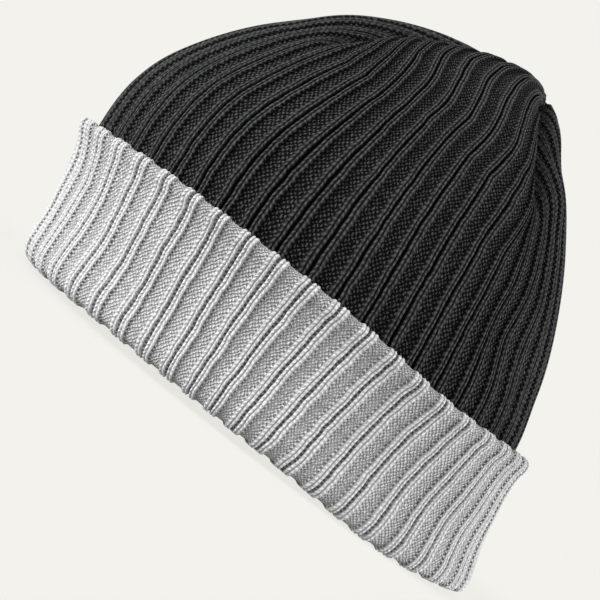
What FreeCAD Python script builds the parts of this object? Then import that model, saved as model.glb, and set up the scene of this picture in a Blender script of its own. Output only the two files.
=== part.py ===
import FreeCAD
import Part
import math
import os

from FreeCAD import Vector

# A ribbed knit beanie with a contrasting turned-up cuff, standing on its rim as if worn.
# Millimetres. +Z is up, -Y is the front (forehead), +X is the wearer's left.
# The origin is under the middle of the hat, on the plane that the rim stands on.

# Driving dimensions.
BODY_HALF_LENGTH = 103.0     # middle to the outside of the dark body, front to back, behind the cuff
WIDTH_RATIO = 0.79           # side-to-side over front-to-back, the plan of a head
FABRIC = 2.4                 # thickness of the single dark rib fabric
CUFF_FACE_HEIGHT = 55.5      # height of the cuff's turned-up outer leg
LINK_HEIGHT = 12.0           # where the cuff's short inner leg is linked to the body
LEAN = 0.215                 # shift of each section towards the front for each mm of height
RIM_CENTRE_Y = 7.0           # middle of the section at the rim, before the hat is centred
STRAIGHT_TOP = 57.0          # the body keeps one section up to this height
CROWN_TOP = 178.6
CUFF_PLAY = 0.6              # gap between the body and the cuff's outer leg
FOLD_HEIGHT = 5.0            # thickness of the cuff's fold at the rim
REST_HALF_LENGTH = 106.0     # outer edge of the flat that the rim stands on
REST_WIDTH = 2.6             # width of that flat
INNER_EDGE_HEIGHT = 3.0      # height of the rounded inner edge of the fold
SEAM_DEPTH = 2.8             # how far a seam ridge stands into the hat
SEAM_WIDTH = 2.4
SEAM_GAP = 0.3               # air between a seam ridge and the wall it follows
LINK_SEAM_DEPTH = 2.2
LINK_SEAM_HEIGHT = 4.0
CUFF_SEAM_DEPTH = 0.7        # thickness of the seam line on the cuff's outer face
CUFF_SEAM_GAP = 0.7          # air between that line and the rounded face
TACK_RADIUS = 4.0
TACK_HEIGHT = 3.0
LABEL_WIDTH = 30.0
LABEL_DROP = 40.0
LABEL_THICKNESS = 0.4
LABEL_TOP = 68.0             # height of the label's sewn edge
LABEL_WALL_GAP = 0.5
STITCH_BAR_WIDTH = 24.0
STITCH_BAR_HEIGHT = 1.2
STITCH_BAR_DEPTH = 0.4
STITCH_BAR_GAP = 0.35

BODY_HALF_WIDTH = BODY_HALF_LENGTH * WIDTH_RATIO
CROWN_RISE = CROWN_TOP - STRAIGHT_TOP

# The crown's shape: height, middle, half-length and half-width of each level section.
CROWN_SECTIONS = [
    (STRAIGHT_TOP, RIM_CENTRE_Y - LEAN * STRAIGHT_TOP, BODY_HALF_LENGTH, BODY_HALF_WIDTH),
    (78.0, -7.7, 101.8, 81.2),
    (92.5, -8.4, 97.9, 79.5),
    (108.0, -7.9, 90.4, 75.5),
    (125.0, -6.6, 79.3, 68.5),
    (139.0, -4.9, 67.5, 60.0),
    (150.0, -3.2, 57.0, 51.5),
    (162.0, 0.8, 41.3, 38.5),
    (171.0, 7.0, 26.5, 25.5),
    (176.0, 14.0, 15.0, 14.0),
    (CROWN_TOP, 19.0, 6.5, 6.0),
]

# The cuff's outer face from the side: height and how far it stands outside the body's section.
CUFF_FACE = [
    (0.0, REST_HALF_LENGTH - BODY_HALF_LENGTH),
    (2.0, 5.0),
    (5.0, 5.7),
    (20.0, 4.1),
    (40.0, 5.1),
    (50.0, 6.9),
    (54.0, 7.4),
    (CUFF_FACE_HEIGHT, 5.8),
]

# The four crown darts run down the diagonals of the plan: angle from +X towards +Y.
DART_ANGLES = {
    "front_left": -45.0,
    "front_right": -135.0,
    "back_left": 45.0,
    "back_right": 135.0,
}
BACK_SEAM_ANGLE = DART_ANGLES["back_right"]


def section_wire(height, middle, half_length, half_width):
    """A level ellipse, longer from front to back."""
    centre = Vector(0, middle, height)
    edge = Part.Ellipse(centre, half_length, half_width).toShape()
    edge.rotate(centre, Vector(0, 0, 1), 90)
    return Part.Wire([edge])


def leaning_section(height, outset):
    """The straight part's section at a height, grown outwards by outset."""
    middle = RIM_CENTRE_Y - LEAN * height
    return section_wire(height, middle, BODY_HALF_LENGTH + outset, BODY_HALF_WIDTH + outset)


def leaning_prism(low, high, outset):
    """A solid that follows the hat's lean with one section all the way up."""
    return Part.makeLoft([leaning_section(low, outset), leaning_section(high, outset)], True, True)


def crown_section(section, inset):
    """Height, middle, half-length and half-width of a crown section, moved into the hat by inset."""
    height, middle, half_length, half_width = section
    new_height = STRAIGHT_TOP + (height - STRAIGHT_TOP) * (1 - inset / CROWN_RISE)
    new_length = half_length * (1 - inset / BODY_HALF_LENGTH)
    new_width = half_width * (1 - inset / BODY_HALF_WIDTH)
    return new_height, middle, new_length, new_width


def hat_form(low, inset):
    """The solid inside of the hat's form, from a height up to the crown, moved in by inset."""
    crown = [section_wire(*crown_section(section, inset)) for section in CROWN_SECTIONS]
    dome = Part.makeLoft(crown, True, False)
    return leaning_prism(low, STRAIGHT_TOP, -inset).fuse(dome).removeSplitter()


def make_crown_body():
    """The dark rib body: one fabric skin from the linked edge to the closed crown."""
    return hat_form(LINK_HEIGHT, 0.0).cut(hat_form(-1.0, FABRIC))


def make_cuff_band():
    """The doubled grey band: outer leg, rolled fold at the rim and short inner leg."""
    face = Part.makeLoft([leaning_section(height, outset) for height, outset in CUFF_FACE], True, False)
    pocket = leaning_prism(FOLD_HEIGHT, CUFF_FACE_HEIGHT + 1, CUFF_PLAY)
    inner_leg = leaning_prism(FOLD_HEIGHT - 1, LINK_HEIGHT, 0.0)
    head_hole = leaning_prism(-1.0, CUFF_FACE_HEIGHT + 2, -FABRIC)
    rounded_edge = Part.makeLoft(
        [
            leaning_section(0.0, REST_HALF_LENGTH - REST_WIDTH - BODY_HALF_LENGTH),
            leaning_section(INNER_EDGE_HEIGHT, -FABRIC),
        ],
        True,
        True,
    )
    return face.cut(pocket).fuse(inner_leg).cut(head_hole).cut(rounded_edge).removeSplitter()


def make_linking_seam():
    """The ridge of linking yarn inside the hat, over the joint between body and cuff."""
    low = LINK_HEIGHT - LINK_SEAM_HEIGHT / 2
    high = LINK_HEIGHT + LINK_SEAM_HEIGHT / 2
    outset = -FABRIC - SEAM_GAP
    outside = leaning_prism(low, high, outset)
    return outside.cut(leaning_prism(low - 1, high + 1, outset - LINK_SEAM_DEPTH))


def ring_point(ring, turn):
    """The point of a ring at one angle of the plan, in radians."""
    height, middle, half_length, half_width = ring
    return Vector(half_width * math.cos(turn), middle + half_length * math.sin(turn), height)


def ridge_quad(outer, inner, angle):
    """A seam ridge's flat section, between two rings at one angle of the plan."""
    turn = math.radians(angle)
    _, _, half_length, half_width = outer
    across = Vector(-half_width * math.sin(turn), half_length * math.cos(turn), 0)
    across.normalize()
    across.multiply(SEAM_WIDTH / 2)
    far, near = ring_point(outer, turn), ring_point(inner, turn)
    corners = [far - across, far + across, near + across, near - across]
    return Part.makePolygon(corners + corners[:1])


def make_ridge(rings, angle):
    """A seam ridge through pairs of outer and inner rings, at one angle of the plan."""
    quads = [ridge_quad(outer, inner, angle) for outer, inner in rings]
    return Part.makeLoft(quads, True, True)


def leaning_ring(height, outset):
    """Height, middle, half-length and half-width of the straight part, grown by outset."""
    return height, RIM_CENTRE_Y - LEAN * height, BODY_HALF_LENGTH + outset, BODY_HALF_WIDTH + outset


def make_dart_seam(angle):
    """The overlocked ridge inside one crown dart, from the dart's tip up to the crown."""
    near = FABRIC + SEAM_GAP
    sections = CROWN_SECTIONS[4:9]
    rings = [(crown_section(s, near), crown_section(s, near + SEAM_DEPTH)) for s in sections]
    return make_ridge(rings, angle)


def make_body_back_seam():
    """The overlocked ridge that closes the body, from the linking seam up to its dart."""
    near = FABRIC + SEAM_GAP
    far = near + SEAM_DEPTH
    start = LINK_HEIGHT + LINK_SEAM_HEIGHT / 2 + 0.5
    height, middle, half_length, half_width = CROWN_SECTIONS[4]
    below_tip = (height - 1.0, middle, half_length + 0.7, half_width + 0.5)
    rings = [(leaning_ring(start, -near), leaning_ring(start, -far))]
    sections = CROWN_SECTIONS[:4] + [below_tip]
    rings += [(crown_section(s, near), crown_section(s, far)) for s in sections]
    return make_ridge(rings, BACK_SEAM_ANGLE)


def make_cuff_back_seam():
    """The low line of linking yarn that closes the cuff band, up its outer face."""
    rings = []
    for height, outset in CUFF_FACE[2:7]:
        near = outset + CUFF_SEAM_GAP
        rings.append((leaning_ring(height, near + CUFF_SEAM_DEPTH), leaning_ring(height, near)))
    return make_ridge(rings, BACK_SEAM_ANGLE)


def make_crown_tack():
    """The knot of yarn that gathers the four gore tips, inside the top of the crown."""
    height, middle, _, _ = crown_section(CROWN_SECTIONS[-1], FABRIC + SEAM_GAP)
    return Part.makeCylinder(TACK_RADIUS, TACK_HEIGHT, Vector(0, middle, height - TACK_HEIGHT))


def label_plane():
    """The label's outer face: just inside the wall at the middle of the back, at its sewn edge."""
    _, middle, half_length, _ = crown_section(CROWN_SECTIONS[1], FABRIC)
    return middle + half_length - LABEL_WALL_GAP


def make_care_label():
    """A blank folded satin label that hangs from its sewn top edge."""
    corner = Vector(-LABEL_WIDTH / 2, label_plane() - LABEL_THICKNESS, LABEL_TOP - LABEL_DROP)
    return Part.makeBox(LABEL_WIDTH, LABEL_THICKNESS, LABEL_DROP, corner)


def make_label_stitches():
    """The bar of stitches that holds the label's top edge to the back of the body."""
    corner = Vector(-STITCH_BAR_WIDTH / 2, label_plane(), LABEL_TOP + STITCH_BAR_GAP)
    return Part.makeBox(STITCH_BAR_WIDTH, STITCH_BAR_DEPTH, STITCH_BAR_HEIGHT, corner)


def build():
    """Every sub-part by name, with the origin moved under the middle of the hat."""
    parts = {
        "crown_body": make_crown_body(),
        "cuff_band": make_cuff_band(),
        "linking_seam": make_linking_seam(),
        "body_back_seam": make_body_back_seam(),
        "cuff_back_seam": make_cuff_back_seam(),
        "crown_tack": make_crown_tack(),
        "care_label": make_care_label(),
        "label_stitches": make_label_stitches(),
    }
    for name, angle in DART_ANGLES.items():
        parts["dart_seam_" + name] = make_dart_seam(angle)
    box = Part.makeCompound(list(parts.values())).optimalBoundingBox()
    shift = Vector(0, -(box.YMin + box.YMax) / 2, -box.ZMin)
    for shape in parts.values():
        shape.translate(shift)
    print("label hinge at y", label_plane() - LABEL_THICKNESS / 2 + shift.y, "z", LABEL_TOP + shift.z)
    print("hat", round(box.XLength, 2), round(box.YLength, 2), round(box.ZLength, 2), "shift", shift)
    return parts


os.makedirs("parts", exist_ok=True)
for name, shape in build().items():
    print(name, shape.isValid(), len(shape.Solids), round(shape.Volume / 1000, 2), "cm3")
    shape.exportStep("parts/" + name + ".step")
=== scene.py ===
import math

import bpy
import numpy as np
from mathutils import Matrix, Vector


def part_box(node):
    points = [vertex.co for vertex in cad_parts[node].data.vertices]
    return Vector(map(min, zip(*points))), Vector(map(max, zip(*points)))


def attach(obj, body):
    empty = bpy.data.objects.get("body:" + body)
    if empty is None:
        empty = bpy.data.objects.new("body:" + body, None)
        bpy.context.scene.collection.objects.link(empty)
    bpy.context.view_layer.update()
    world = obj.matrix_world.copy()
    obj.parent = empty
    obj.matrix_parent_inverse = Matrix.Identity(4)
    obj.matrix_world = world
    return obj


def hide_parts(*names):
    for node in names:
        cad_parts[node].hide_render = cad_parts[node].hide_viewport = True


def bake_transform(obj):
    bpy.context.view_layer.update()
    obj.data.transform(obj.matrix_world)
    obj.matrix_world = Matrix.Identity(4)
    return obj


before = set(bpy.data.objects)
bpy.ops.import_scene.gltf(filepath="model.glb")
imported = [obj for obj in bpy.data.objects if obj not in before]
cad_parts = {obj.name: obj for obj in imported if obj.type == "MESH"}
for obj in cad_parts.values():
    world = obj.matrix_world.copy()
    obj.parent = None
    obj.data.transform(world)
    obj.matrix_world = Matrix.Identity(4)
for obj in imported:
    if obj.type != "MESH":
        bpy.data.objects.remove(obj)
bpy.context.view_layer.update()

# ---------------------------------------------------------------- sizes, from the frame
# Lengths below are in millimetres of the design; MM turns them into the frame's metres.
DESIGN_WIDTH = 162.74
BODY_LOW, BODY_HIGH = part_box("crown_body")
MM = (BODY_HIGH[0] - BODY_LOW[0]) / DESIGN_WIDTH
HALF_WIDTH = DESIGN_WIDTH / 2
WIDTH_RATIO = 0.79
HALF_LENGTH = HALF_WIDTH / WIDTH_RATIO
LINK_HEIGHT = BODY_LOW[2] / MM
CROWN_TOP = BODY_HIGH[2] / MM
CUFF_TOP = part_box("cuff_band")[1][2] / MM
LEAN = 0.215
RIM_CENTRE = BODY_HIGH[1] / MM - HALF_LENGTH + LEAN * LINK_HEIGHT
STRAIGHT_TOP = 57.0
FABRIC = 2.4

# Height, middle, half-length and half-width of the crown's sections, as in the CAD.
CROWN_SECTIONS = [
    (STRAIGHT_TOP, RIM_CENTRE - LEAN * STRAIGHT_TOP, HALF_LENGTH, HALF_WIDTH),
    (78.0, -7.6, 101.8, 81.2),
    (92.5, -8.3, 97.9, 79.5),
    (108.0, -7.8, 90.4, 75.5),
    (125.0, -6.5, 79.3, 68.5),
    (139.0, -4.8, 67.5, 60.0),
    (150.0, -3.1, 57.0, 51.5),
    (162.0, 0.9, 41.3, 38.5),
    (171.0, 7.1, 26.5, 25.5),
    (176.0, 14.1, 15.0, 14.0),
    (CROWN_TOP, 19.1, 6.5, 6.0),
    (CROWN_TOP - 0.8, 19.0, 1.2, 1.2),
]

# ---------------------------------------------------------------- the rib
REPEATS = 48                 # rib repeats round the hat, twelve to each gore
GORES = 4
GORE_HALF = REPEATS / GORES / 2
CROWN_PITCH = 9.4            # millimetres per repeat where the darts take up the width
COURSE = 2.1                 # height of one row of stitches
# Places across one repeat, in repeats from the middle of its narrow purl groove.
GROOVE_FLOOR = 0.01
GROOVE_EDGE = 0.045
LEG_NOTCH = 0.15             # the notch between the two legs of a knit wale
BAND_EDGE = 0.26             # the wide purl band starts here and is centred on 0.5
EDGE_REACH = 0.035           # how far a wale's wall starts before the band or ends past the groove
WALL_END = 0.085             # the wall beside the band ends this far past the band's edge
NOTCH_WIDTH = 0.2            # as a share of the way from the notch to the band
GROOVE_DEPTH = 1.7
BAND_DEPTH = 1.3
NOTCH_DEPTH = 0.5
# The band sinks a little beside its middle and rises at it: share of its depth, from and to.
BAND_SINK = (0.12, 0.33, 0.42)
BAND_RISE = (0.22, 0.38, 0.5)
LINK_FADE = 6.0              # how near the linked edges the ribs flatten
HALF_COLUMNS = [
    0.0, 0.025, 0.045, 0.07, 0.10, 0.13, 0.15, 0.17, 0.205, 0.24, 0.265, 0.295, 0.33, 0.40, 0.5,
]
BODY_PHASE = 0.77            # where the first groove of the body lies, in repeats from +X
CUFF_PHASE = 0.5
COLUMN_GAP = 0.02            # mesh columns keep this far from a gore's edge, which has its own

# How far the wales stray, in repeats.
WALE_JITTER = 0.012          # from row to row
CUFF_WANDER = 0.12           # in slow waves over the cuff
BODY_WANDER = 0.16           # in slow waves over the body
BELL_REACH = 3               # rows on each side that even out a wale's shifts
SLOW_WAVES = 5               # waves that are added up
WAVES_ROUND = (1, 9)         # how many times one repeats round the hat: at least, and fewer than
WAVES_ALONG = (0.3, 2.2)     # and along the fabric
WAVE_SIZES = (0.5, 1.0)
WAVE_GAIN = 1.5              # brings their mean to between about -1 and 1
RING_STEPS = 720
TINY = 1e-9
CLOSE = 1e-6                 # places this near each other are the same
LEAST_HALF = 1e-3            # stands in for the apex's own half-length of nothing


def smooth(x, low, high):
    """0 below low, 1 above high and a smooth turn between."""
    t = np.clip((x - low) / (high - low), 0, 1)
    return t * t * (3 - 2 * t)


def from_groove(q, phase):
    """Distance of a place round the hat from its nearest narrow groove, in repeats."""
    return np.abs((q - phase + 0.5) % 1.0 - 0.5)


def bell(x, width):
    """1 at 0 and fading on both sides over the width."""
    return np.exp(-((x / width) ** 2))


def rib_height(d):
    """The rib's section: two-legged wales at 0, with the groove and the band below them."""
    groove = -GROOVE_DEPTH * (1 - smooth(d, GROOVE_FLOOR, GROOVE_EDGE + EDGE_REACH))
    leg = (d - LEG_NOTCH) / (BAND_EDGE - LEG_NOTCH)
    notch = -NOTCH_DEPTH * bell(leg, NOTCH_WIDTH)
    wall = smooth(d, BAND_EDGE - EDGE_REACH, BAND_EDGE + WALL_END)
    sink = BAND_SINK[0] * smooth(d, *BAND_SINK[1:])
    rise = BAND_RISE[0] * smooth(d, *BAND_RISE[1:])
    return groove + notch - BAND_DEPTH * (wall + sink - rise)


def unsteady(row_count, q, phase, seed):
    """Small seeded shifts of each wale from row to row, about 1 in size."""
    rng = np.random.default_rng(seed)
    centres = (np.arange(REPEATS)[:, None] + np.array([LEG_NOTCH, 1 - LEG_NOTCH])).ravel() + phase
    extra = 2 * BELL_REACH
    raw = rng.normal(size=(row_count + extra, centres.size))
    weights = np.exp(-np.linspace(-BELL_REACH, BELL_REACH, extra + 1) ** 2 / 2)
    even = [np.convolve(column, weights, "valid") for column in raw.T]
    even = np.array(even).T / math.sqrt((weights**2).sum())
    return np.array([np.interp(q, centres, row, period=REPEATS) for row in even])


def wander(q, t, seed):
    """A slow seeded wave over the fabric, between about -1 and 1; q in repeats, t along the wale."""
    rng = np.random.default_rng(seed)
    total = np.zeros(np.broadcast(q, t).shape)
    for _ in range(SLOW_WAVES):
        round_waves = rng.integers(*WAVES_ROUND)
        along = rng.uniform(*WAVES_ALONG)
        phase = rng.uniform(0, 2 * math.pi)
        turn = 2 * math.pi * (q * round_waves / REPEATS + t * along)
        total += np.sin(turn + phase) * rng.uniform(*WAVE_SIZES)
    return total / SLOW_WAVES * WAVE_GAIN


# ---------------------------------------------------------------- curves and rings
def spline(knots, at):
    """A smooth cubic through knots, whose first column is the parameter."""
    knots = np.asarray(knots, float)
    x, y = knots[:, 0], knots[:, 1:]
    slope = np.diff(y, axis=0) / np.diff(x)[:, None]
    tangent = np.zeros_like(y)
    tangent[1:-1] = (slope[1:] + slope[:-1]) / 2
    tangent[0], tangent[-1] = slope[0], slope[-1]
    k = np.clip(np.searchsorted(x, at, side="right") - 1, 0, len(x) - 2)
    h = (x[k + 1] - x[k])[:, None]
    s = ((at - x[k]) / (x[k + 1] - x[k]))[:, None]
    return (
        (2 * s**3 - 3 * s**2 + 1) * y[k]
        + (s**3 - 2 * s**2 + s) * h * tangent[k]
        + (-2 * s**3 + 3 * s**2) * y[k + 1]
        + (s**3 - s**2) * h * tangent[k + 1]
    )


def ring_angles(half_length, half_width, fractions):
    """The ellipse angles, from +X, at fractions of its length round."""
    dense = np.linspace(0, 2 * math.pi, RING_STEPS + 1)
    steps = np.hypot(np.diff(half_width * np.cos(dense)), np.diff(half_length * np.sin(dense)))
    length = np.concatenate([[0], np.cumsum(steps)])
    turns = np.floor(fractions)
    return np.interp((fractions - turns) * length[-1], length, dense) + turns * 2 * math.pi


def ring_length(half_length, half_width):
    """Ramanujan's length of an ellipse."""
    h = ((half_length - half_width) / (half_length + half_width)) ** 2
    return math.pi * (half_length + half_width) * (1 + 3 * h / (10 + np.sqrt(4 - 3 * h)))


def surface(rows, fractions):
    """Points and outward normals for rows of (height, middle, half-length, half-width)."""
    change = np.gradient(rows, axis=0)
    points, normals = [], []
    for (height, middle, length, width), (dz, dc, db, da), part in zip(rows, change, fractions):
        angle = ring_angles(max(length, LEAST_HALF), max(width, LEAST_HALF), part)
        cos, sin = np.cos(angle), np.sin(angle)
        points.append(np.stack([width * cos, middle + length * sin, np.full_like(cos, height)], -1))
        round_it = np.stack([-width * sin, length * cos, np.zeros_like(cos)], -1)
        up_it = np.stack([da * cos, dc + db * sin, np.full_like(cos, dz)], -1)
        normal = np.cross(round_it, up_it)
        normals.append(normal / np.maximum(np.linalg.norm(normal, axis=-1, keepdims=True), TINY))
    return np.array(points), np.array(normals)


# ---------------------------------------------------------------- meshes
def columns(phase):
    """Places of the mesh columns round the hat, in repeats, with one on each gore's edge."""
    within = np.array(HALF_COLUMNS + [1 - x for x in HALF_COLUMNS[1:-1]])
    q = (np.arange(REPEATS)[:, None] + within[None, :] + phase) % REPEATS
    q = np.where(q > REPEATS - GORE_HALF, q - REPEATS, q).ravel()
    edges = [GORE_HALF * (2 * gore + 1) for gore in range(GORES)]
    taken = edges + [-GORE_HALF]
    keep = [x for x in np.sort(q) if min(abs(x - edge) for edge in taken) > COLUMN_GAP]
    return np.sort(np.array(keep + edges))


def mesh_piece(name, points, faces, material):
    """A smooth-shaded object from points in millimetres."""
    mesh = bpy.data.meshes.new(name)
    mesh.from_pydata((points * MM).tolist(), [], faces)
    mesh.polygons.foreach_set("use_smooth", [True] * len(mesh.polygons))
    mesh.materials.append(material)
    piece = bpy.data.objects.new(name, mesh)
    bpy.context.scene.collection.objects.link(piece)
    return piece


def grid_piece(name, points, rib_map, material, merge=None):
    """A surface from a grid of points that closes on itself round the hat and along its section.
    rib_map holds each place's rib coordinates, and merge the grid place that it is welded to."""
    rows, cols = points.shape[:2]
    place = np.arange(rows * cols).reshape(rows, cols)
    weld = place if merge is None else merge
    lower, upper = np.arange(rows), (np.arange(rows) + 1) % rows
    left, right = np.arange(cols), (np.arange(cols) + 1) % cols
    quads = np.stack(
        [
            place[np.ix_(lower, left)],
            place[np.ix_(lower, right)],
            place[np.ix_(upper, right)],
            place[np.ix_(upper, left)],
        ],
        -1,
    ).reshape(-1, 4)
    used = {}
    faces, corners = [], []
    flat_weld = weld.ravel()
    for quad in quads.tolist():
        face, face_corners = [], []
        for at in quad:
            vertex = int(flat_weld[at])
            if vertex not in face:
                face.append(vertex)
                face_corners.append(at)
        if len(face) > 2:
            faces.append([used.setdefault(vertex, len(used)) for vertex in face])
            corners += face_corners
    piece = mesh_piece(name, points.reshape(-1, 3)[list(used)], faces, material)
    layer = piece.data.uv_layers.new(name="Rib")
    layer.data.foreach_set("uv", rib_map.reshape(-1, 2)[corners].astype(np.float32).ravel())
    piece.data.validate(clean_customdata=False)
    return piece


# ---------------------------------------------------------------- materials
class Wire:
    """A number in a node tree, with arithmetic that adds Math nodes."""

    def __init__(self, tree, socket):
        self.tree, self.socket = tree, socket

    def math(self, operation, *others):
        node = self.tree.nodes.new("ShaderNodeMath")
        node.operation = operation
        for slot, value in zip(node.inputs, (self, *others)):
            if isinstance(value, Wire):
                self.tree.links.new(value.socket, slot)
            else:
                slot.default_value = value
        return Wire(self.tree, node.outputs[0])

    def __add__(self, other):
        return self.math("ADD", other)

    def __sub__(self, other):
        return self.math("SUBTRACT", other)

    def __mul__(self, other):
        return self.math("MULTIPLY", other)

    def __neg__(self):
        return self.math("MULTIPLY", -1.0)

    def __truediv__(self, other):
        return self.math("DIVIDE", other)

    __radd__ = __add__
    __rmul__ = __mul__

    def __rsub__(self, other):
        return (-self) + other

    def abs(self):
        return self.math("ABSOLUTE")

    def wave(self):
        """A cosine with one cycle for each unit."""
        return (self * (2 * math.pi)).math("COSINE")

    def step(self, low, high):
        """0 below low and 1 above high, with a smooth turn between."""
        node = self.tree.nodes.new("ShaderNodeMapRange")
        node.interpolation_type = "SMOOTHSTEP"
        node.inputs["From Min"].default_value = low
        node.inputs["From Max"].default_value = high
        self.tree.links.new(self.socket, node.inputs["Value"])
        return Wire(self.tree, node.outputs["Result"])


class Cloth:
    """A new fabric material: a tree with a Principled shader and helpers for its inputs."""

    def __init__(self, name, roughness=0.9, sheen=0.25):
        self.material = bpy.data.materials.new(name)
        self.material.use_nodes = True
        self.tree = self.material.node_tree
        self.shader = self.tree.nodes["Principled BSDF"]
        self.shader.inputs["Roughness"].default_value = roughness
        self.shader.inputs["Sheen Weight"].default_value = sheen
        self.shader.inputs["Sheen Roughness"].default_value = 0.35
        self.shader.inputs["Specular IOR Level"].default_value = 0.2

    def map(self, name):
        """The two coordinates of a UV map."""
        uv = self.tree.nodes.new("ShaderNodeUVMap")
        uv.uv_map = name
        parts = self.tree.nodes.new("ShaderNodeSeparateXYZ")
        self.tree.links.new(uv.outputs["UV"], parts.inputs[0])
        return Wire(self.tree, parts.outputs[0]), Wire(self.tree, parts.outputs[1])

    def noise(self, scale, detail=2.0, stretch=(1, 1, 1)):
        """Noise in the object's own space, centred on 0, from about -0.5 to 0.5."""
        place = self.tree.nodes.new("ShaderNodeTexCoord")
        mapping = self.tree.nodes.new("ShaderNodeMapping")
        mapping.inputs["Scale"].default_value = stretch
        noise = self.tree.nodes.new("ShaderNodeTexNoise")
        noise.inputs["Scale"].default_value = scale
        noise.inputs["Detail"].default_value = detail
        self.tree.links.new(place.outputs["Object"], mapping.inputs["Vector"])
        self.tree.links.new(mapping.outputs["Vector"], noise.inputs["Vector"])
        return Wire(self.tree, noise.outputs["Fac"]) - 0.5

    def colour(self, value, dark, light):
        """Runs the base colour from dark to light as value goes from 0 to 1."""
        mix = self.tree.nodes.new("ShaderNodeMix")
        mix.data_type = "RGBA"
        mix.inputs["A"].default_value = (*dark, 1)
        mix.inputs["B"].default_value = (*light, 1)
        self.tree.links.new(value.socket, mix.inputs["Factor"])
        self.tree.links.new(mix.outputs["Result"], self.shader.inputs["Base Color"])

    def relief(self, height_mm):
        """Bumps the surface by a height in millimetres."""
        bump = self.tree.nodes.new("ShaderNodeBump")
        bump.inputs["Strength"].default_value = 1.0
        bump.inputs["Distance"].default_value = MM
        self.tree.links.new(height_mm.socket, bump.inputs["Height"])
        self.tree.links.new(bump.outputs["Normal"], self.shader.inputs["Normal"])


# How the stitches stray: the scale of each noise and how far it moves them.
ROW_DRIFT = (70.0, 0.5)      # in rows
ROW_JITTER = 600.0           # by one row
SIDE_DRIFT = (300.0, 0.02)   # in repeats
SIDE_JITTER = (750.0, 0.05)
# The scales of the noise that makes fuzz, single fibres and uneven dye.
FUZZ_SCALE = 420.0
FIBRE_SCALE = 1500.0
PATCH_SCALE = 28.0
LOOP_PERIOD = 0.16           # width of one mesh of the band's loops, in repeats
LOOP_FUZZ = 0.7              # how much fuzz breaks up the loops' edges
LOOP_EDGE = (-0.2, 0.75)     # heights of the loops' pattern between which its tone turns light, as painted light on the loops' tops
EDGE_BLUR = 0.02             # how far groove, wale and band run into each other, in repeats
GROOVE_BLUR = 0.015          # and how far that reaches into the groove
# Painted shade in the band beside each wale, where the wale's wall shades it: its middle and reach, in
# repeats.
SHADE_MIDDLE = BAND_EDGE + 0.035
SHADE_REACH = 0.05
SHADE_TONES = (0.4, 0.8)     # the shade's change from row to row, and its mean
LEG_CREST = 0.55             # where a leg's painted highlight is brightest, from the notch at 0 to the band at 1
CREST_EDGE = (0.08, 0.5)     # how far from there it starts and ends to darken
STRAND_TONE = 0.3            # how much a leg's painted highlight changes from row to row
FIBRE_SHARE = 0.6            # how much the single fibres vary, as a share of the fuzz
PATCH_TONE = 0.12
STRAND_SLANT = 0.55          # how far a leg's strand climbs over its width, in rows
# Heights of the relief, in millimetres.
LOOP_RELIEF = 0.4
STRAND_RELIEF = 0.15
DOT_RELIEF = 0.25
FUZZ_RELIEF = 0.16
FIBRE_RELIEF = 0.12
TWIST_RELIEF = 0.2
WEAVE_RELIEF = 0.04
TWIST_SCALE = 900.0          # of the noise in sewing yarn
WEAVE_SCALE = 500.0          # and in the label's ribbon, which is drawn out across the label
WEAVE_STRETCH = (0.15, 1, 6)


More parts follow.
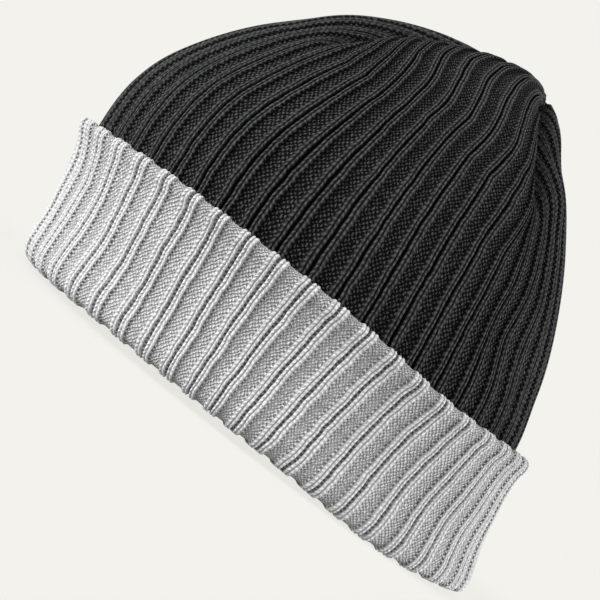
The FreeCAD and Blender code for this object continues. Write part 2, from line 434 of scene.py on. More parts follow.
def knit_material(name, dark, light, heather, sheen, gauge, tones):
    """Rib knit: legs of yarn on the wales, a mesh of purl loops in the bands, dots in the grooves.
    The stitch tones are painted light and shade: painted shade in the grooves, between the loops
    and in the band beside each wale, and painted highlights on the loops and along each leg's crest.
    heather is how much the fibres vary, and gauge how much finer than usual the stitches are.
    tones are the band between its loops (painted shade), how much a loop adds (painted light), the
    groove's mean (painted shade), how far the band darkens beside a wale (painted shade), the wale
    beside its legs, and how much a leg's painted highlight adds."""
    between, loop_tone, groove_tone, beside, leg_foot, leg_tone = tones
    cloth = Cloth(name, sheen=sheen)
    d, course = cloth.map("Rib")
    course = course * gauge + cloth.noise(ROW_DRIFT[0]) * ROW_DRIFT[1] + cloth.noise(ROW_JITTER, 1.0)
    d = d + cloth.noise(SIDE_DRIFT[0]) * SIDE_DRIFT[1]
    d = d + cloth.noise(SIDE_JITTER[0], 1.0) * SIDE_JITTER[1]
    band = d.step(BAND_EDGE - EDGE_BLUR, BAND_EDGE + EDGE_BLUR)
    groove = 1 - d.step(GROOVE_EDGE - GROOVE_BLUR, GROOVE_EDGE + EDGE_BLUR)
    wale = 1 - band - groove
    fuzz = cloth.noise(FUZZ_SCALE, 2.0)
    loops = ((0.5 - d) * (gauge / LOOP_PERIOD)).wave() * course.wave()
    # Painted light on the tops of the band's purl loops; the pits between them keep the band's darker
    # tone, as painted shade.
    loop = (loops + fuzz * LOOP_FUZZ).step(*LOOP_EDGE)
    # Painted shade: the band darkens in a strip beside each wale.
    shade = (1 - (d - SHADE_MIDDLE).abs().step(0.0, SHADE_REACH)) * beside
    leg = ((d - LEG_NOTCH) / (BAND_EDGE - LEG_NOTCH)).abs()
    # Painted highlight along the crest of each leg, fading to the darker wale tone at the notch and the
    # band's edge.
    crest_highlight = 1 - (leg - LEG_CREST).abs().step(*CREST_EDGE)
    strand = (course + leg * STRAND_SLANT).wave()
    dots = course.wave()
    fibres = cloth.noise(FIBRE_SCALE, 3.0)
    patch = cloth.noise(PATCH_SCALE, 1.0)
    # The stitch tones below are painted light and shade on one yarn colour; fuzz, fibres and patch then
    # vary the yarn's own colour at random.
    tone = (
        band * (loop * loop_tone + between)
        + wale * (crest_highlight * (strand * STRAND_TONE + leg_tone) + leg_foot)
        # painted shade in the groove, lighter on its dots
        + groove * (dots * groove_tone + groove_tone)
        - shade * (dots * SHADE_TONES[0] + SHADE_TONES[1])
    )
    tone = tone + fuzz * heather + fibres * (heather * FIBRE_SHARE) + patch * PATCH_TONE
    cloth.colour(tone, dark, light)
    height = (
        band * (loops * LOOP_RELIEF)
        + wale * (strand * STRAND_RELIEF)
        + groove * (dots * DOT_RELIEF)
        + fuzz * FUZZ_RELIEF
        + fibres * FIBRE_RELIEF
    )
    cloth.relief(height)
    return cloth.material


def yarn_material(name, dark, light):
    """Twisted sewing yarn."""
    cloth = Cloth(name, roughness=0.8, sheen=0.15)
    twist = cloth.noise(TWIST_SCALE, 2.0)
    cloth.colour(twist * 1.2 + 0.6, dark, light)
    cloth.relief(twist * TWIST_RELIEF)
    return cloth.material


def satin_material(name, tone):
    """Smooth woven ribbon, glossier than the knit, with a fine crosswise weave."""
    cloth = Cloth(name, roughness=0.38, sheen=0.4)
    cloth.shader.inputs["Specular IOR Level"].default_value = 0.5
    weave = cloth.noise(WEAVE_SCALE, 1.0, WEAVE_STRETCH)
    cloth.colour(weave * 0.5 + 0.8, (tone * 0.8, tone * 0.8, tone * 0.8), (tone, tone, tone * 0.98))
    cloth.relief(weave * WEAVE_RELIEF)
    return cloth.material


DARK_KNIT = knit_material(
    "dark_rib_knit", dark=(0.0, 0.0, 0.0), light=(0.112, 0.116, 0.114),
    heather=0.28, sheen=0.02, gauge=1.0, tones=(-0.16, 0.82, 0.0, 0.3, 0.04, 0.50),
)
GREY_KNIT = knit_material(
    "grey_rib_knit", dark=(0.12, 0.12, 0.12), light=(0.83, 0.83, 0.835),
    heather=0.24, sheen=0.2, gauge=1.25, tones=(0.4, 0.58, 0.33, 0.33, 0.47, 0.44),
)
DARK_THREAD = yarn_material("dark_thread", (0.006, 0.006, 0.006), (0.05, 0.051, 0.05))
GREY_THREAD = yarn_material("grey_thread", (0.25, 0.25, 0.25), (0.75, 0.75, 0.75))
LABEL_SATIN = satin_material("label_satin", 0.62)
LABEL_THREAD = yarn_material("label_thread", (0.1, 0.1, 0.1), (0.4, 0.4, 0.4))


# ---------------------------------------------------------------- the dark body
OUTSIDE_ROWS = 140
INSIDE_ROWS = 40
SEAM_SQUEEZE = 0.8           # ribs beside a dart close up to this much of their pitch
SQUEEZED = 2.4               # over this many repeats from the dart
BACK_SEAM = 3 * GORE_HALF    # where the back seam runs, in repeats from +X
STRAIGHT_ROWS = (LINK_HEIGHT, 34.0, 50.0)
# Places round the hat and reaches below are in repeats, heights and depths in millimetres.
TIP_DRAG = 1.1               # how far the ribs lean towards the tip at the very top
TIP_START, TIP_END = 138, 172
DART_FOOT = 4.8              # where the ribs beside a left-hand dart are pulled towards it
PUCKER = (0.7, 1.5)          # how far the pull moves them, and its reach
PUCKER_START, PUCKER_END = 106, 134
SAG = (0.45, 2.2, 1.6)       # how far the ribs hang back below the pull, how far on, and the reach
SAG_HEIGHT, SAG_REACH = 88, 14
HELD_START, HELD_END = 100, 123
HELD_REACH = 1.5             # the columns this near a dart stay straight above that
VALLEY = (-7.6, 4.2)         # the fold that a dart pulls into the crown: depth and reach
SHOULDER = (1.6, 16, 12)     # the rise beside it: height, distance from the dart and reach
GATHER = (0.5, 3.0)          # how much a dart flattens the ribs, and its reach
CREASE = (-1.1, 0.9)         # the dent along the back seam: depth and reach
SEWN_FADE = 1.0              # repeats that half a gore narrows by while its darts are drawn in
MEAN_PITCH = 12              # millimetres per repeat on the straight part
BODY_SOFTNESS = 0.9
HOLLOW = 1.8                 # how far the crown's back falls in, and as much again near its top
HOLLOW_START, HOLLOW_END = 60, 80
HOLLOW_TOP, HOLLOW_REACH = 156, 8
BACK_START, BACK_END = 0.2, 0.9  # where the back sets in round the hat, as a share of its length
TIP_HALF = (0.1, 0.8)        # half-widths of a gore between which its ribs fade at the tip
LINKED_RIB = 0.1             # share of the ribs' depth that is left at the linked edge


def crown_rows(count):
    """Rows of sections from the linked edge to the apex, evenly spaced along the fabric."""
    straight = [(h, RIM_CENTRE - LEAN * h, HALF_LENGTH, HALF_WIDTH) for h in STRAIGHT_ROWS]
    knots = np.array(straight + CROWN_SECTIONS)
    steps = np.hypot(np.diff(knots[:, 0]), np.abs(np.diff(knots[:, 2:], axis=0)).mean(axis=1))
    along = np.concatenate([[0], np.cumsum(steps)])
    return spline(np.column_stack([along, knots]), np.linspace(0, along[-1], count)), along[-1]


def pulled(q, height):
    """How far the ribs of the body stray round it, in repeats, at a place q and a height."""
    tip = -TIP_DRAG * np.cos(2 * math.pi * q / REPEATS) * smooth(height, TIP_START, TIP_END)
    pucker = 0.0
    sag = 0.0
    for side, foot in ((1, DART_FOOT), (-1, REPEATS / 2 - DART_FOOT)):
        pucker = pucker + side * PUCKER[0] * bell(q - foot, PUCKER[1])
        sag = sag - side * SAG[0] * bell(q - foot - side * SAG[1], SAG[2])
    pucker = pucker * smooth(height, PUCKER_START, PUCKER_END)
    return tip + pucker + sag * bell(height - SAG_HEIGHT, SAG_REACH)


def body_layer(row_count, inward, rib_strength):
    """One face of the dark fabric: points, maps and, for each place, the place it is sewn to."""
    rows, wale_length = crown_rows(row_count)
    height = rows[:, :1]
    q = columns(BODY_PHASE)
    gore = np.floor((q + GORE_HALF) / (2 * GORE_HALF))
    gore[np.isclose(q, q.max())] = GORES - 1
    middle = gore * 2 * GORE_HALF
    local = q - middle
    along = np.linspace(0, 1, row_count)[:, None]
    gore_width = ring_length(rows[:, 2], rows[:, 3]) / CROWN_PITCH / GORES
    width = np.minimum(GORE_HALF, gore_width / 2)[:, None]
    sewn = smooth(GORE_HALF - width, 0.0, SEWN_FADE)
    stray = pulled(q[None, :], height) + BODY_WANDER * wander(q[None, :], along, seed=11)
    stray = stray + WALE_JITTER * unsteady(row_count, q, BODY_PHASE, seed=31)
    near_dart = smooth(height, HELD_START, HELD_END)
    held = 1 - near_dart * (1 - smooth(GORE_HALF - np.abs(local), 0, HELD_REACH))
    pos = local[None, :] + stray * held
    free = np.maximum(width - SQUEEZED, 0)
    reach = np.abs(pos)
    squeeze = np.maximum(SEAM_SQUEEZE, (width - free) / (GORE_HALF - free))
    reach = np.where(reach > free, free + (reach - free) * squeeze, reach)
    edge = np.abs(np.abs(local) - GORE_HALF) < CLOSE
    clipped = (sewn > 0) & ((reach >= width) | edge[None, :])
    reach = np.where(clipped, width, reach)
    pos = np.sign(np.where(clipped, local[None, :], pos)) * reach
    fractions = (middle[None, :] + pos / width * GORE_HALF) / REPEATS
    points, normals = surface(rows, fractions)
    gap = (width - np.abs(pos)) * CROWN_PITCH
    valley = VALLEY[0] * sewn * np.exp(-gap / VALLEY[1])
    valley = valley + SHOULDER[0] * sewn * bell(gap - SHOULDER[1], SHOULDER[2])
    d = np.broadcast_to(from_groove(q, BODY_PHASE)[None, :], pos.shape)
    gathered = 1 - GATHER[0] * sewn * np.exp(-gap / GATHER[1])
    tip = smooth(width, *TIP_HALF)
    crease = CREASE[0] * bell(np.abs(q - BACK_SEAM) * MEAN_PITCH, CREASE[1])[None, :] * (1 - sewn)
    soft = BODY_SOFTNESS * wander(q[None, :], along, seed=5)
    behind = smooth(np.sin(2 * math.pi * q / REPEATS), BACK_START, BACK_END)[None, :]
    hollow = smooth(height, HOLLOW_START, HOLLOW_END) * (1 + bell(height - HOLLOW_TOP, HOLLOW_REACH))
    soft = soft - HOLLOW * behind * hollow
    linked = smooth(height, LINK_HEIGHT, LINK_HEIGHT + LINK_FADE)
    joined = LINKED_RIB + (1 - LINKED_RIB) * linked
    ribs = rib_height(d) * rib_strength * gathered * tip * joined
    lift = ribs + valley * tip + crease + soft * joined - inward
    points = points + normals * lift[..., None]
    place = np.arange(pos.size).reshape(pos.shape)
    seam_columns = np.flatnonzero(edge)
    merge = place.copy()
    ends = (middle[None, :] + np.sign(pos) * GORE_HALF) % REPEATS
    nearest = seam_columns[np.argmin(np.abs(q[seam_columns][:, None, None] - ends[None]), axis=0)]
    merge[clipped] = place[np.nonzero(clipped)[0], nearest[clipped]]
    merge[-1, :] = place[-1, 0]
    points[-1, :] = points[-1].mean(axis=0)
    courses = np.broadcast_to(along * wale_length / COURSE, d.shape)
    return points, np.stack([d, courses], -1), merge, normals, seam_columns


def stack(outer, inner):
    """The outside rows and then the inside ones from the top down, as one closed grid."""
    points = np.concatenate([outer[0], inner[0][::-1]])
    maps = np.concatenate([outer[1], inner[1][::-1]])
    rows, cols = inner[2].shape
    flipped = (rows - 1 - inner[2] // cols) * cols + inner[2] % cols
    merge = np.concatenate([outer[2], flipped[::-1] + outer[2].size])
    return points, maps, merge


OUTSIDE = body_layer(OUTSIDE_ROWS, inward=0.0, rib_strength=1.0)
INSIDE = body_layer(INSIDE_ROWS, inward=FABRIC, rib_strength=0.3)
crown_points, crown_map, sewn_to = stack(OUTSIDE, INSIDE)
crown = grid_piece("crown_body_knit", crown_points, crown_map, DARK_KNIT, sewn_to)
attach(crown, "hat")
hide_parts("crown_body")

# ---------------------------------------------------------------- the grey cuff
# The turned-up leg's section, anticlockwise from the rim: outside the body's section, and height.
CUFF_SECTION = [
    (1.7, 0.0), (4.4, 1.3), (5.7, 5.0), (5.2, 12.0), (4.2, 20.0), (4.0, 30.0), (4.2, 40.0),
    (5.7, 48.5), (7.4, 52.5), (7.3, 55.2), (5.8, CUFF_TOP + 0.7), (4.2, 55.0), (3.0, 51.0),
    (1.6, 44.0), (1.0, 36.0), (0.8, 20.0), (0.8, 8.0), (0.2, 5.6), (-1.6, 5.0), (-2.3, 3.2),
    (-0.8, 0.5), (1.7, 0.0),
]
INNER_LEG_TOP = LINK_HEIGHT - 0.2
INNER_LEG = [
    (-0.3, INNER_LEG_TOP), (-0.2, 9.0), (-0.4, 6.4), (-1.2, 4.2), (-2.6, 3.9), (-3.4, 6.0),
    (-3.0, 9.0), (-2.6, INNER_LEG_TOP - 0.4), (-1.6, INNER_LEG_TOP + 0.3), (-0.3, INNER_LEG_TOP),
]
CUFF_FAN = 1.05              # how far the turned-up ribs lean back by the lip, in repeats
FAN_CHANGE = 2.0             # how fast their lean changes round from one side to the other
CUFF_CURL = 0.65             # how far they bend towards the rim, forwards and backwards
CURL_CHANGE, CURL_SHIFT = 2.5, 0.1  # how fast the bend turns round, and how far forward it does
CURL_LEAST = 0.2             # share of the bend that is left at the lip
FACES_IN = -0.2              # the section faces inwards where its normal points this far in
CUFF_ROWS = 110
INNER_ROWS = 28
CUFF_RIBS = (0.85, 0.3)      # how deep the ribs are on the outer face and on the inner one
INNER_RIBS = (0.3, 0.5)
CUFF_SOFTNESS = 0.8
CUFF_SLOW = 140              # millimetres along the section for one unit of the slow waves
RIM_RISE = 2.8               # how far the soft rim rises off its plane, but not behind the ears
RIM_DIP, RIM_DIP_REACH = 0.6, 0.3
FRONT_DROP = 1.2             # how much less it rises over the forehead
FOREHEAD = (0.5, 1.0)        # where the forehead starts and is full, as shares of the half-length


def section_rows(section, count):
    """Rows evenly spaced round a closed section: outset, height and length along it."""
    knots = np.array(section)
    steps = np.linalg.norm(np.diff(knots, axis=0), axis=1)
    along = np.concatenate([[0], np.cumsum(steps)])
    at = np.linspace(0, along[-1], count, endpoint=False)
    outset, height = spline(np.column_stack([along, knots]), at).T
    return outset, height, at


def rim_wave(angle):
    """How far the soft rim rises off its plane round the hat; it dips behind each ear."""
    dip = bell(np.sin(angle) - RIM_DIP, RIM_DIP_REACH)
    return RIM_RISE - RIM_RISE * dip - FRONT_DROP * smooth(-np.sin(angle), *FOREHEAD)


def cuff_layer(section, count, ribs):
    """A closed ring of grey fabric: its points and map. ribs is how deep its ribs are, outside and
    inside. The ribs and waves of the inner leg fade out towards its linked edge."""
    outset, height, at = section_rows(section, count)
    q = columns(CUFF_PHASE)
    d_out, d_up = np.gradient(outset), np.gradient(height)
    size = np.hypot(d_out, d_up)
    out_part, up_part = d_up / size, -d_out / size
    strength = np.where(out_part > FACES_IN, ribs[0], ribs[1])
    near = (height / CUFF_TOP)[:, None]
    turn = 2 * math.pi * q[None, :] / REPEATS
    fan = CUFF_FAN * np.tanh(FAN_CHANGE * np.cos(turn)) * (near - 0.5)
    curl = CUFF_CURL * np.cos(turn) * np.tanh(CURL_CHANGE * (np.sin(turn) + CURL_SHIFT))
    curl = curl * (CURL_LEAST + (1 - near) ** 2)
    drift = fan - curl + CUFF_WANDER * wander(q[None, :], at[:, None] / CUFF_SLOW, seed=3)
    drift = drift + WALE_JITTER * unsteady(count, q, CUFF_PHASE, seed=33)
    d = np.broadcast_to(from_groove(q, CUFF_PHASE)[None, :], drift.shape)
    bend = CUFF_SOFTNESS * wander(q[None, :], near, seed=21)
    points = np.zeros((*drift.shape, 3))
    for i in range(len(at)):
        length, width = HALF_LENGTH + outset[i], HALF_WIDTH + outset[i]
        angle = ring_angles(length, width, (q + drift[i]) / REPEATS)
        normal = np.stack([np.cos(angle) / width, np.sin(angle) / length], -1)
        normal /= np.linalg.norm(normal, axis=-1, keepdims=True)
        free = 1.0
        if section is INNER_LEG:
            free = 1 - smooth(height[i], LINK_HEIGHT - LINK_FADE, LINK_HEIGHT)
        loose = LINKED_RIB + (1 - LINKED_RIB) * free
        shift = rib_height(d[i]) * strength[i] * loose
        out = shift * out_part[i] + bend[i] * loose
        points[i, :, 0] = width * np.cos(angle) + normal[:, 0] * out
        points[i, :, 1] = RIM_CENTRE - LEAN * height[i] + length * np.sin(angle) + normal[:, 1] * out
        points[i, :, 2] = height[i] + shift * up_part[i] + rim_wave(angle) * free
    return points, np.stack([d, np.broadcast_to(at[:, None] / COURSE, d.shape)], -1)


TURNED_POINTS, TURNED_MAP = cuff_layer(CUFF_SECTION, CUFF_ROWS, CUFF_RIBS)
cuff = grid_piece("cuff_turned_leg", TURNED_POINTS, TURNED_MAP, GREY_KNIT)
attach(cuff, "cuff")
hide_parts("cuff_band")

inner_leg = grid_piece("cuff_inner_leg", *cuff_layer(INNER_LEG, INNER_ROWS, INNER_RIBS), GREY_KNIT)
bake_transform(inner_leg)
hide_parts("cuff_band")

# ---------------------------------------------------------------- seams, tack and label
YARN = 0.4                   # radius of the sewing yarn
YARN_SIDES = 6
CHAIN_YARN = 1.1 * YARN      # radius of the chains along an overlocked seam
STITCH_STEPS = 8             # points along a yarn for each stitch
SEAM_TAPER = 4               # the last millimetres of a seam, which get narrower
SEAM_TIP = 0.35              # share of its width that is left at its very end
DART_SEAM = (2.6, 2.6)       # width and depth
BODY_SEAM = (3.0, 2.4)
CUFF_SEAM = (2.4, 0.9)
SIDEWAYS = (0.31, 0.47, 0.83)  # any direction that no yarn starts out along
SEAM_CORE = 0.38             # radius of the folded edge, as a share of the seam's smaller side
CHAIN_PLACES = (-0.8, 0.0, 0.8)  # where the chains lie, as a share of the seam's half-width
CHAIN_SWING = 0.3            # how far they go in and out


def frames(path, closed):
    """Unit tangents and two unit directions across a path, turning as little as they can."""
    ahead = np.roll(path, -1, axis=0) - np.roll(path, 1, axis=0)
    if not closed:
        ahead[0], ahead[-1] = path[1] - path[0], path[-1] - path[-2]
    ahead /= np.linalg.norm(ahead, axis=1, keepdims=True)
    side = np.zeros_like(ahead)
    before = np.cross(ahead[0], SIDEWAYS)
    for i, direction in enumerate(ahead):
        before = before - direction * np.dot(before, direction)
        before /= np.linalg.norm(before)
        side[i] = before
    return side, np.cross(ahead, side)


def tube(path, radius, closed=False):
    """Points and faces of a round yarn along a path, with its ends closed."""
    path = np.asarray(path, float)
    side, up = frames(path, closed)
    turn = np.linspace(0, 2 * math.pi, YARN_SIDES, endpoint=False)
    ring = np.cos(turn)[None, :, None] * side[:, None] + np.sin(turn)[None, :, None] * up[:, None]
    points = (path[:, None] + radius * ring).reshape(-1, 3)
    count = len(path)
    faces = []
    for i in range(count if closed else count - 1):
        below, above = i * YARN_SIDES, (i + 1) % count * YARN_SIDES
        for k in range(YARN_SIDES):
            after = (k + 1) % YARN_SIDES
            faces.append((below + k, below + after, above + after, above + k))
    if not closed:
        faces.append(tuple(reversed(range(YARN_SIDES))))
        faces.append(tuple(range((count - 1) * YARN_SIDES, count * YARN_SIDES)))
    return points, faces


def yarn_piece(name, strands, material):
    """One object from several yarns, each given as (points, faces)."""
    points, faces = [], []
    for strand_points, strand_faces in strands:
        start = sum(len(block) for block in points)
        points.append(strand_points)
        faces += [tuple(v + start for v in face) for face in strand_faces]
    return mesh_piece(name, np.concatenate(points), faces, material)


def along_path(path, step):
    """A path's points again, evenly spaced by about step, and their places along the old ones."""
    gaps = np.linalg.norm(np.diff(path, axis=0), axis=1)
    length = np.concatenate([[0], np.cumsum(gaps)])
    at = np.linspace(0, length[-1], max(8, int(length[-1] / step)))
    return np.stack([np.interp(at, length, path[:, k]) for k in range(3)], -1), at, length


def overlock(name, path, raised, material, size, stitch=2.2):
    """A seam of a width and depth along a path: a folded edge with yarn wound round it. raised
    holds the direction in which it stands off the fabric."""
    width, depth = size
    spine, at, length = along_path(path, stitch / STITCH_STEPS)
    face = np.stack([np.interp(at, length, raised[:, k]) for k in range(3)], -1)
    ahead = np.gradient(spine, axis=0)
    ahead /= np.linalg.norm(ahead, axis=1, keepdims=True)
    across = np.cross(ahead, face)
    turn = at / stitch * 2 * math.pi
    tight = np.minimum(1, np.minimum(at, at[-1] - at) / SEAM_TAPER + SEAM_TIP)
    out, over = depth / 2 * tight, width / 2 * tight
    middle = spine + face * out[:, None]
    wound = spine + face * (out * (1 + np.cos(turn)))[:, None] + across * (over * np.sin(turn))[:, None]
    strands = [tube(middle, min(width, depth) * SEAM_CORE), tube(wound, YARN)]
    for side in CHAIN_PLACES:
        wave = face * (CHAIN_SWING * np.cos(turn * 2 + side))[:, None]
        strands.append(tube(middle + across * (over * side)[:, None] + wave, CHAIN_YARN))
    return yarn_piece(name, strands, material)


INSIDE_POINTS, _, _, INSIDE_NORMALS, SEAM_COLUMNS = INSIDE
INSIDE_HEIGHTS = INSIDE_POINTS[:, :, 2].mean(axis=1)
DART_START = 124.0
DART_END = CROWN_TOP - FABRIC - 1.5
BODY_SEAM_LOW, BODY_SEAM_HIGH = LINK_HEIGHT + 5, DART_START - 1
SEAM_NAMES = ("back_left", "back_right", "front_right", "front_left")
for seam_name, column in zip(SEAM_NAMES, SEAM_COLUMNS):
    rows = (INSIDE_HEIGHTS > DART_START) & (INSIDE_HEIGHTS < DART_END)
    dart = overlock(
        "dart_overlock_" + seam_name, INSIDE_POINTS[rows, column], -INSIDE_NORMALS[rows, column],
        DARK_THREAD, DART_SEAM,
    )
    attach(dart, "hat")
    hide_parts("dart_seam_" + seam_name)

back_column = SEAM_COLUMNS[SEAM_NAMES.index("back_right")]
rows = (INSIDE_HEIGHTS > BODY_SEAM_LOW) & (INSIDE_HEIGHTS < BODY_SEAM_HIGH)
back_seam = overlock(
    "body_back_overlock", INSIDE_POINTS[rows, back_column], -INSIDE_NORMALS[rows, back_column],
    DARK_THREAD, BODY_SEAM,
)
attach(back_seam, "hat")
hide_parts("body_back_seam")

# The cuff's back seam shows on the outside, because the cuff is turned up.
CUFF_SEAM_LOW, CUFF_SEAM_HIGH = 6, 51
cuff_column = int(np.argmin(np.abs(columns(CUFF_PHASE) - BACK_SEAM)))
face_heights = TURNED_POINTS[:, cuff_column, 2]
outer_face = np.arange(len(face_heights)) < int(np.argmax(face_heights))
rows = outer_face & (face_heights > CUFF_SEAM_LOW) & (face_heights < CUFF_SEAM_HIGH)
cuff_line = TURNED_POINTS[rows, cuff_column]
cuff_out = cuff_line - np.array([0, RIM_CENTRE, 0])
cuff_out[:, 2] = 0
cuff_out /= np.linalg.norm(cuff_out, axis=1, keepdims=True)
cuff_seam = overlock("cuff_back_loops", cuff_line, cuff_out, GREY_THREAD, CUFF_SEAM, stitch=2.6)
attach(cuff_seam, "cuff")
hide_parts("cuff_back_seam")


LINK_STITCHES = REPEATS * 4
LINK_YARN = 0.55             # radius of the linking yarn
LINK_MIDDLE = 2.6            # how far the chain lies above the linked edge
LINK_SWING = 1.1             # how far its loops go up and down from there
LINK_INSET = FABRIC + 1.0
LINK_DEPTH = 0.6             # how far they go in and out


def linking_chain():
    """The chain of linked loops that joins the grey cuff to the dark body, on the inside."""
    turns = np.linspace(0, 1, LINK_STITCHES * STITCH_STEPS, endpoint=False)
    angle = ring_angles(HALF_LENGTH, HALF_WIDTH, turns)
    centre = RIM_CENTRE - LEAN * LINK_HEIGHT
    strands = []
    for start in (0.0, math.pi):
        wave = turns * LINK_STITCHES * 2 * math.pi + start
        inset = LINK_INSET - LINK_DEPTH * np.cos(wave)
        height = LINK_HEIGHT + LINK_MIDDLE + LINK_SWING * np.sin(wave)
        x = (HALF_WIDTH - inset) * np.cos(angle)
        y = centre + (HALF_LENGTH - inset) * np.sin(angle)
        strands.append(tube(np.stack([x, y, height], -1), LINK_YARN, closed=True))
    return yarn_piece("linking_chain", strands, GREY_THREAD)


chain = linking_chain()
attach(chain, "hat")
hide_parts("linking_seam")


KNOT_REACH, KNOT_SWING = 2.3, 0.9
KNOT_HEIGHT = 1.1
KNOT_DROP = 1.6              # how far it hangs under the fabric's tip
KNOT_YARN = 0.85


def crown_knot():
    """The knot of yarn that gathers the four gore tips, under the top of the crown."""
    t = np.linspace(0, 2 * math.pi, 140, endpoint=False)
    reach = KNOT_REACH + KNOT_SWING * np.cos(3 * t)
    loop = np.stack([reach * np.cos(2 * t), reach * np.sin(2 * t), KNOT_HEIGHT * np.sin(3 * t)], -1)
    path = loop + INSIDE_POINTS[-1].mean(axis=0) - (0, 0, KNOT_DROP)
    return yarn_piece("crown_tack_knot", [tube(path, KNOT_YARN, closed=True)], DARK_THREAD)


knot = crown_knot()
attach(knot, "hat")
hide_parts("crown_tack")

LABEL_LOW, LABEL_HIGH = (np.array(corner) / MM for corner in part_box("care_label"))
LABEL_LAYER = 0.22
LABEL_FLATTENS = 9.0         # drop at which the label no longer follows the wall's curve
WALL_CURVE = 0.0081          # how the wall behind the label curves away from its middle
LABEL_HALF = 15
LABEL_TOP = 0.2              # how far under its sewn edge the ribbon starts
LABEL_GAP = 0.5              # half the gap between its two layers at the fold
LABEL_PINCH = 0.3            # share of that gap that is left at the sewn edge
LABEL_ROWS, LABEL_COLUMNS, FOLD_STEPS = 30, 13, 7
LABEL_FOLD = 1.0             # its fold takes up this much of its drop
STITCH_ROW_HALF = 11.5       # half the length of the row of stitches that hold it
STITCH_PITCH = 2.3
STITCH_REACH = 0.7           # half the length of one stitch
STITCH_RISE = 0.5            # how far above the label's edge a stitch starts, and how far it climbs
STITCH_OUT, STITCH_IN = 0.2, 0.35  # how far its ends stand off the wall, and how deep its middle is
STITCH_YARN = 0.22


def label_at(x, drop, depth):
    """A place on the label: x across it, drop below its sewn edge, depth in front of its back."""
    curve = WALL_CURVE * max(0.0, 1 - drop / LABEL_FLATTENS)
    return (x, LABEL_HIGH[1] - depth - curve * x**2, LABEL_HIGH[2] - drop)


def care_label():
    """A blank satin ribbon, folded at its lower edge and sewn in by its top edge."""
    fold_start = LABEL_HIGH[2] - LABEL_LOW[2] - LABEL_FOLD
    downs = np.linspace(LABEL_TOP, fold_start, LABEL_ROWS)
    bend = np.linspace(0, math.pi, FOLD_STEPS)[1:-1]
    opened = smooth(downs, 0, (fold_start + LABEL_FOLD) / 2)
    opening = LABEL_PINCH + (1 - LABEL_PINCH) * opened
    path = [(down, 0.0) for down in downs]
    path += [(fold_start + LABEL_GAP * math.sin(a), LABEL_GAP * (1 - math.cos(a))) for a in bend]
    path += [(down, 2 * LABEL_GAP * wide) for down, wide in zip(downs[::-1], opening[::-1])]
    path = np.array(path)
    normal = np.gradient(path, axis=0)
    normal = np.stack([normal[:, 1], -normal[:, 0]], -1)
    normal /= np.linalg.norm(normal, axis=1, keepdims=True)
    half_layer = normal * LABEL_LAYER / 2
    loop = np.concatenate([path + half_layer, (path - half_layer)[::-1]])
    across = np.linspace(-LABEL_HALF, LABEL_HALF, LABEL_COLUMNS)
    points = [label_at(x, down, depth) for x in across for down, depth in loop]
    count = len(loop)
    faces = []
    for near in range(0, (len(across) - 1) * count, count):
        far = near + count
        for k in range(count):
            after = (k + 1) % count
            faces.append((near + k, near + after, far + after, far + k))
    for start in (0, (len(across) - 1) * count):
        for k in range(count // 2 - 1):
            quad = (start + k, start + k + 1, start + count - 2 - k, start + count - 1 - k)
            faces.append(quad if start else quad[::-1])
    return mesh_piece("care_label_ribbon", np.array(points), faces, LABEL_SATIN)


label = care_label()
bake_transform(label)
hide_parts("care_label")


def label_stitch_row():
    """Short stitches that hold the label's top edge to the body."""
    strands = []
    top = LABEL_HIGH[2]
    for x in np.arange(-STITCH_ROW_HALF, STITCH_ROW_HALF + 0.1, STITCH_PITCH):
        y = LABEL_HIGH[1] - WALL_CURVE * x**2
        start = (x - STITCH_REACH, y + STITCH_OUT, top + STITCH_RISE)
        middle = (x, y - STITCH_IN, top + 1.5 * STITCH_RISE)
        end = (x + STITCH_REACH, y + STITCH_OUT, top + 2 * STITCH_RISE)
        strands.append(tube([start, middle, end], STITCH_YARN))
    return yarn_piece("label_stitch_row", strands, LABEL_THREAD)


stitch_row = label_stitch_row()
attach(stitch_row, "hat")
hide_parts("label_stitches")


# ---------------------------------------------------------------- the cut sizes of the fabric
TUBE_WIDTH = ring_length(HALF_LENGTH, HALF_WIDTH) * MM
BODY_LENGTH = 0.257          # along the fabric, from the linked edge to the apex
BODY_FLAT = (TUBE_WIDTH, BODY_LENGTH)
GORED_SHARE = 0.72           # of the rectangle, once the gores between the darts are cut
BODY_FLAT_AREA = GORED_SHARE * BODY_FLAT[0] * BODY_FLAT[1]

# ---------------------------------------------------------------- camera
LENS = 83.0                  # millimetres, as is the sensor
SENSOR = 36.0
DISTANCE = 0.545             # metres, as are the places below
CAMERA_Y = -0.0046
AIM = Vector((0.0, CAMERA_Y, 0.0536))
EYE = Vector((DISTANCE, CAMERA_Y, 0.0392))
ROLL = math.radians(38.0)


def make_camera():
    """A long lens at the wearer's left, rolled so that the hat leans back in the picture."""
    data = bpy.data.cameras.new("camera")
    data.lens, data.sensor_width = LENS, SENSOR
    camera = bpy.data.objects.new("camera", data)
    bpy.context.scene.collection.objects.link(camera)
    back = (EYE - AIM).normalized()
    up = Vector((0, -math.sin(ROLL), math.cos(ROLL)))
    right = up.cross(back).normalized()
    up = back.cross(right)
    turn = Matrix((right, up, back)).transposed().to_4x4()
    camera.matrix_world = Matrix.Translation(EYE) @ turn
    bpy.context.scene.camera = camera


make_camera()

# ---------------------------------------------------------------- light and floor
BACKDROP = (0.896, 0.888, 0.847)
FILL = 0.44
# Strength, direction towards the lamp, and how wide it looks in degrees.
KEY = (4.0, (0.38, -0.9, 0.26), 40.0)
SIDE = (2.8, (0.1, 0.97, 0.2), 40.0)
FLOOR_LIT = 0.12             # how much of the light the floor scatters, so that shadows show


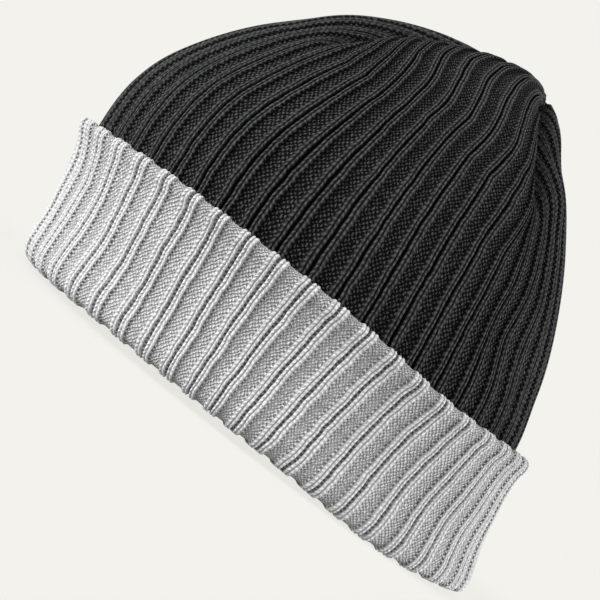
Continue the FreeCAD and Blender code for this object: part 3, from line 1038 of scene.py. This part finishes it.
def sun(name, strength, towards, width):
    """A soft sun that shines from a direction."""
    data = bpy.data.lights.new(name, "SUN")
    data.energy, data.angle = strength, math.radians(width)
    lamp = bpy.data.objects.new(name, data)
    lamp.rotation_mode = "QUATERNION"
    lamp.rotation_quaternion = Vector(towards).to_track_quat("Z", "Y")
    bpy.context.scene.collection.objects.link(lamp)


def make_world():
    """An even pale surround: the camera sees the backdrop's colour, the hat a softer fill."""
    world = bpy.data.worlds.new("studio")
    bpy.context.scene.world = world
    world.use_nodes = True
    tree = world.node_tree
    seen = tree.nodes["Background"]
    seen.inputs["Color"].default_value = (*BACKDROP, 1)
    fill = tree.nodes.new("ShaderNodeBackground")
    fill.inputs["Color"].default_value = (1, 1, 1, 1)
    fill.inputs["Strength"].default_value = FILL
    path = tree.nodes.new("ShaderNodeLightPath")
    mix = tree.nodes.new("ShaderNodeMixShader")
    tree.links.new(path.outputs["Is Camera Ray"], mix.inputs[0])
    tree.links.new(fill.outputs[0], mix.inputs[1])
    tree.links.new(seen.outputs[0], mix.inputs[2])
    tree.links.new(mix.outputs[0], tree.nodes["World Output"].inputs["Surface"])


def make_floor():
    """A wide plain floor of the backdrop's own colour, so that no horizon shows. It lets what is
    under it show through, because the cuff hangs lower than the rim once it is turned down."""
    reach = 20.0
    mesh = bpy.data.meshes.new("floor")
    corners = [(-reach, -reach, 0), (reach, -reach, 0), (reach, reach, 0), (-reach, reach, 0)]
    mesh.from_pydata(corners, [], [(0, 1, 2, 3)])
    floor = bpy.data.objects.new("floor", mesh)
    bpy.context.scene.collection.objects.link(floor)
    material = bpy.data.materials.new("floor_paper")
    material.use_nodes = True
    tree = material.node_tree
    tree.nodes.remove(tree.nodes["Principled BSDF"])
    lit = sum(k * Vector(d).normalized().z for k, d, _ in (KEY, SIDE)) / math.pi + FILL
    diffuse = tree.nodes.new("ShaderNodeBsdfDiffuse")
    diffuse.inputs["Color"].default_value = (FLOOR_LIT, FLOOR_LIT, FLOOR_LIT, 1)
    clear = tree.nodes.new("ShaderNodeBsdfTransparent")
    clear.inputs["Color"].default_value = (*(1 - FLOOR_LIT * lit / c for c in BACKDROP), 1)
    add = tree.nodes.new("ShaderNodeAddShader")
    tree.links.new(diffuse.outputs[0], add.inputs[0])
    tree.links.new(clear.outputs[0], add.inputs[1])
    tree.links.new(add.outputs[0], tree.nodes["Material Output"].inputs["Surface"])
    mesh.materials.append(material)
    floor.visible_diffuse = False
    floor.visible_glossy = False


sun("key", *KEY)
sun("side", *SIDE)
make_world()
make_floor()
bpy.context.scene.view_settings.view_transform = "Standard"
